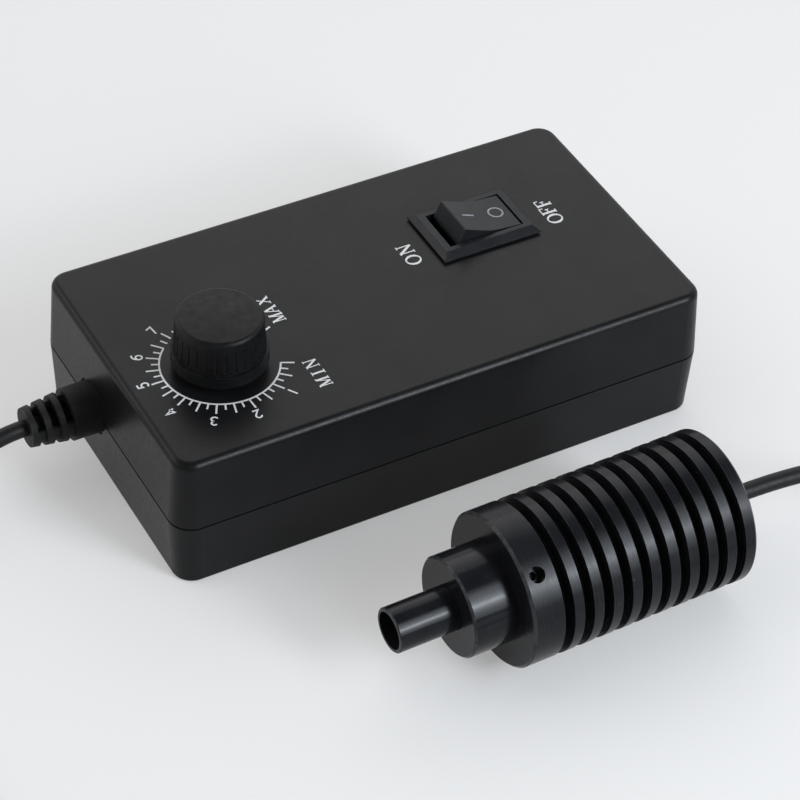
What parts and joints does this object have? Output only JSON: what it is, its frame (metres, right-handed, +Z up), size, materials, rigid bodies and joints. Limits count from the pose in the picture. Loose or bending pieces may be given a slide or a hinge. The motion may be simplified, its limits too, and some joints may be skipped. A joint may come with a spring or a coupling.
{
  "type": "coaxial microscope light",
  "caption": "Control box with a dimmer knob and rocker switch, corded to a finned lamp head whose nose tube plugs into a microscope's coaxial port.",
  "frame": {"origin": "centre of the control box's underside, on the table", "axes": "+X along the box's long side towards its power inlet, +Y to the box's back, +Z up; the lamp lies in front of the box, at -Y"},
  "size_m": [0.1866, 0.1698, 0.0404],
  "materials": {
    "case_plastic": "fine moulded texture",
    "knob_plastic": "satin",
    "switch_plastic": "satin",
    "cord_rubber": "satin",
    "relief_rubber": "matte",
    "black_anodised": "polished, black anodised",
    "steel": "plated",
    "black_steel": "blackened",
    "brass_contact": "plain",
    "plated_can": "satin",
    "board_laminate": "solder mask",
    "chip_black": "moulded",
    "ferrite": "sintered",
    "header_nylon": "nylon",
    "wire_insulation": "satin",
    "wafer_phenolic": "pressed board",
    "clear_glass": "polished",
    "led_ceramic": "ceramic",
    "led_silicone": "clear silicone over phosphor",
    "pad_silicone": "filled silicone"
  },
  "bodies": {
    "control_box": {"lower_shell": "case_plastic", "upper_shell": "case_plastic", "case_screws": "steel", "circuit_board": "board_laminate", "board_screws": "steel", "input_capacitor": "plated_can", "output_capacitor": "plated_can", "power_inductor": "ferrite", "driver_chip": "chip_black", "rectifier_diode": "chip_black", "chip_resistors": "chip_black", "power_header": "header_nylon", "lamp_header": "header_nylon", "dimmer_header": "header_nylon", "switch_header": "header_nylon", "pot_bushing": "brass_contact", "pot_case": "steel", "pot_wafer": "wafer_phenolic", "pot_washer": "steel", "pot_nut": "steel", "switch_housing": "switch_plastic", "pivot_terminal": "brass_contact", "contact_terminal": "brass_contact", "jack_housing": "switch_plastic", "jack_pin": "steel", "jack_contact": "brass_contact", "jack_nut": "steel", "strain_relief": "relief_rubber", "cord_tail": "cord_rubber", "jack_wires": "wire_insulation", "lamp_wires": "wire_insulation", "pot_wires": "wire_insulation", "switch_wires": "wire_insulation", "nose_tube": "black_anodised", "lens_holder": "black_anodised", "condenser_lens": "clear_glass", "lens_ring": "black_anodised", "heat_sink": "black_anodised", "lamp_set_screw": "black_steel", "thermal_pad": "pad_silicone", "led_board": "led_ceramic", "led_screws": "steel", "led_emitter": "led_ceramic", "led_dome": "led_silicone", "lamp_grommet": "relief_rubber", "lamp_inner_wires": "wire_insulation", "cord_from_box": "cord_rubber", "cord_coil": "cord_rubber", "cord_to_lamp": "cord_rubber"},
    "dimmer_knob": {"knob": "knob_plastic", "pot_shaft": "plated_can", "pot_wiper": "brass_contact"},
    "rocker": {"switch_rocker": "switch_plastic", "switch_spring": "steel", "switch_plunger": "header_nylon"},
    "lever": {"contact_lever": "brass_contact"}
  },
  "joints": [
    {"name": "brightness_knob", "type": "hinge", "parent": "control_box", "child": "dimmer_knob", "pos_m": [-0.0358, -0.0071, 0.0287], "axis": [0, 0, -1], "range_deg": [0, 310]},
    {"name": "power_switch", "type": "hinge", "parent": "control_box", "child": "rocker", "pos_m": [0.0248, 0.0068, 0.0253], "axis": [0, -1, 0], "range_deg": [0, 27]},
    {"name": "contact_lever_pivot", "type": "hinge", "parent": "control_box", "child": "lever", "pos_m": [0.0248, 0.0068, 0.01875], "axis": [0, 1, 0], "range_deg": [0, 10]}
  ],
  "couplings": [
    {"joint": "contact_lever_pivot", "follows": "power_switch", "ratio": 0.37037}
  ]
}
